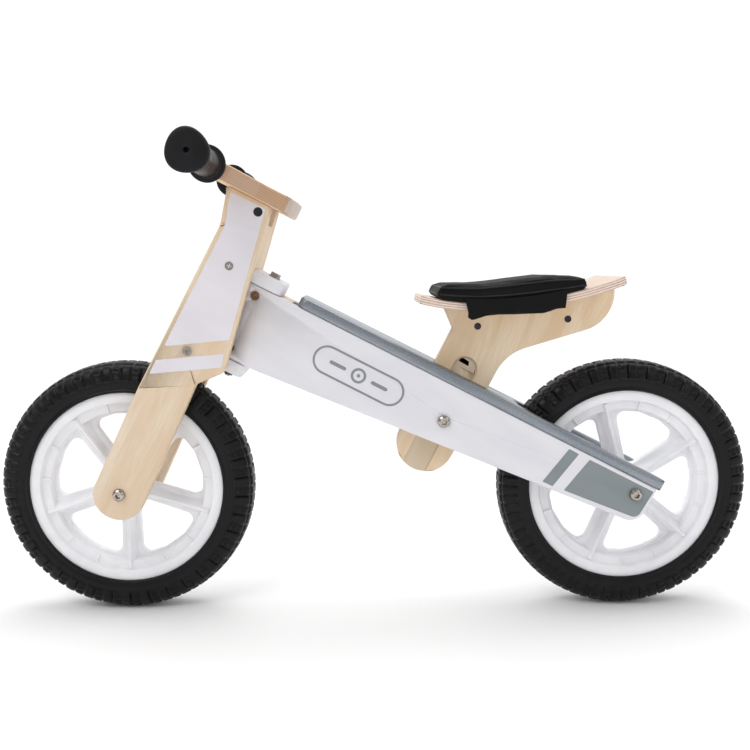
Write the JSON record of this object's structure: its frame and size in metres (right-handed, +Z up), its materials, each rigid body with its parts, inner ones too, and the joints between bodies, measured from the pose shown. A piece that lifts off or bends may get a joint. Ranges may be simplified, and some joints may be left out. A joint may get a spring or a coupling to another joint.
{
  "type": "balance bike",
  "caption": "Child's wooden balance bike: splayed plank beams, plank fork with a board handlebar, moulded spoked wheels with knobbly foam tyres and a height-adjustable padded seat.",
  "frame": {"origin": "on the ground half way between the two wheels, on the bike's centre plane", "axes": "+X toward the rear of the bike, +Y toward its right side, +Z up"},
  "size_m": [0.8614, 0.382, 0.5207],
  "materials": {
    "painted_ply": "white satin paint on plywood",
    "birch_ply": "clear satin lacquer on birch plywood",
    "fork_ply": "clear lacquer with white painted panels",
    "silver_ply": "silver satin paint on plywood",
    "handlebar_ply": "clear lacquer, brown toned",
    "bronzed_steel": "bronze finish",
    "nickel_steel": "nickel plated",
    "zinc_steel": "zinc plated",
    "black_steel": "black oxide",
    "nylon": "matt",
    "spacer_plastic": "matt",
    "bearing_steel": "ground",
    "rim_plastic": "semi-gloss",
    "tyre_foam": "matt moulded foam",
    "grip_rubber": "satin moulded rubber",
    "seat_fabric": "woven cover"
  },
  "bodies": {
    "frame": {"beam_left": "painted_ply", "beam_right": "painted_ply", "head_block": "birch_ply", "head_screws": "bronzed_steel", "head_bushes": "nylon", "top_board": "silver_ply", "board_dowels": "birch_ply", "guide_block_left": "birch_ply", "guide_block_right": "birch_ply", "seat_clamp_bolt": "nickel_steel", "seat_clamp_nut": "nickel_steel", "rear_axle_bolt": "nickel_steel", "rear_axle_nut": "nickel_steel", "rear_spacers": "spacer_plastic"},
    "steerer": {"fork_leg_left": "fork_ply", "fork_leg_right": "fork_ply", "fork_block_upper": "birch_ply", "fork_block_middle": "birch_ply", "fork_block_lower": "birch_ply", "upper_bracket": "painted_ply", "lower_bracket": "painted_ply", "steering_bolt": "zinc_steel", "steering_nut": "black_steel", "steering_washers": "zinc_steel", "fork_screws": "zinc_steel", "handlebar_board": "handlebar_ply", "handlebar_rod": "zinc_steel", "handlebar_bolts": "black_steel", "handlebar_nuts": "black_steel", "grip_left": "grip_rubber", "grip_right": "grip_rubber", "front_axle_bolt": "nickel_steel", "front_axle_nut": "nickel_steel", "front_spacers": "spacer_plastic"},
    "front_wheel": {"front_tyre": "tyre_foam", "front_rim": "rim_plastic", "front_bearings": "bearing_steel"},
    "rear_wheel": {"rear_tyre": "tyre_foam", "rear_rim": "rim_plastic", "rear_bearings": "bearing_steel"},
    "seat": {"seat_post": "birch_ply", "seat_board": "birch_ply", "seat_barrel_nuts": "black_steel", "seat_screws": "zinc_steel", "seat_cushion": "seat_fabric", "seat_skirts": "seat_fabric"}
  },
  "joints": [
    {"name": "steering", "type": "hinge", "parent": "frame", "child": "steerer", "pos_m": [-0.14158, 0, 0.3314], "axis": [0.454, 0, 0.891], "range_deg": [-28, 28]},
    {"name": "front_wheel_spin", "type": "hinge", "parent": "steerer", "child": "front_wheel", "pos_m": [-0.286, 0, 0.145], "axis": [0, 1, 0], "continuous": true},
    {"name": "rear_wheel_spin", "type": "hinge", "parent": "frame", "child": "rear_wheel", "pos_m": [0.286, 0, 0.145], "axis": [0, 1, 0], "continuous": true},
    {"name": "seat_height", "type": "slide", "parent": "frame", "child": "seat", "axis": [0.454, 0, 0.891], "range_m": [-0.025, 0.02]}
  ]
}
